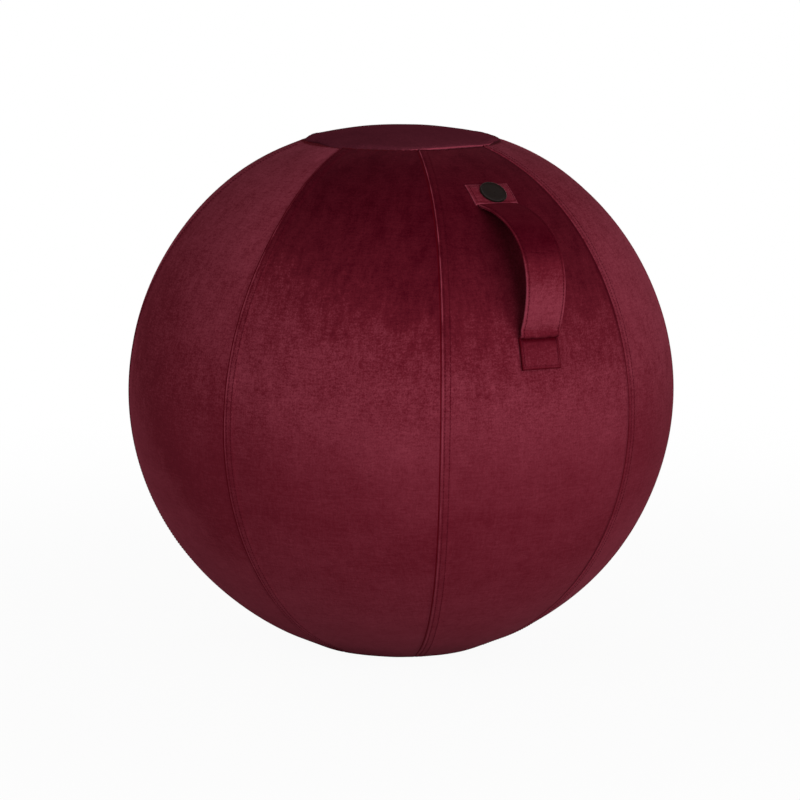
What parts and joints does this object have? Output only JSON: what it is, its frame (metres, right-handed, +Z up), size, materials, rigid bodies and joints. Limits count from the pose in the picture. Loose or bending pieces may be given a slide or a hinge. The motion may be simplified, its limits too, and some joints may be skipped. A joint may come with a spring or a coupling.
{
  "type": "sitting ball",
  "caption": "Inflated sitting ball in a sewn velvet gore cover with a flat foot, a padded top disc, a zip under the back and a carry strap with a round badge.",
  "frame": {"origin": "centre of the flat foot on the floor", "axes": "+Z up through the centre of the top disc, -Y towards the carry strap"},
  "size_m": [0.6498, 0.6498, 0.6175],
  "materials": {
    "velvet": "burgundy velvet with a fine slub",
    "velvet_dark": "dark burgundy velvet",
    "webbing": "woven polyester",
    "skin": "satin moulded skin",
    "filling": "loose granules",
    "valve": "soft moulded rubber",
    "plug": "smooth moulded plastic",
    "zip_metal": "moulded acetal teeth",
    "slider_metal": "black enamelled zinc",
    "badge": "polished black, bare"
  },
  "bodies": {
    "ball": {"gore_panel_1": "velvet", "gore_panel_2": "velvet", "gore_panel_3": "velvet", "gore_panel_4": "velvet", "gore_panel_5": "velvet", "gore_panel_6": "velvet", "gore_panel_7": "velvet", "gore_panel_8": "velvet", "top_disc": "velvet_dark", "foot_disc": "velvet_dark", "ring_tube": "webbing", "ring_filling": "filling", "inner_ball": "skin", "valve_seat": "valve", "valve_plug": "plug", "zip_tape_gores": "webbing", "zip_tape_foot": "webbing", "zip_teeth_gores": "zip_metal", "zip_teeth_foot": "zip_metal", "zip_bottom_stop": "zip_metal", "zip_top_stops": "zip_metal", "strap_upper_end": "velvet", "strap_lower_end": "velvet", "strap_upper_patch": "velvet", "badge": "badge", "backing_upper": "webbing", "backing_lower": "webbing"},
    "strap": {"strap_grip": "velvet", "strap_core": "webbing"},
    "slider": {"zip_slider": "slider_metal"},
    "pull": {"zip_pull": "slider_metal"}
  },
  "joints": [
    {"name": "strap_swing", "type": "hinge", "parent": "ball", "child": "strap", "pos_m": [-0.00068, -0.21624, 0.54529], "axis": [-0.0367, -0.5605, -0.8274], "range_deg": [-35, 35], "stiffness_Nm_per_rad": 0.06},
    {"name": "zip_slide", "type": "hinge", "parent": "ball", "child": "slider", "pos_m": [0, 0, 0], "axis": [0, 0, 1], "range_deg": [-166, 0], "deforming": ["zip_teeth_gores", "zip_teeth_foot"]},
    {"name": "pull_flip", "type": "hinge", "parent": "slider", "child": "pull", "pos_m": [-0.11122, 0.0643, 0.00604], "axis": [-0.7786, 0.4501, 0.4373], "range_deg": [-11, 155]}
  ]
}
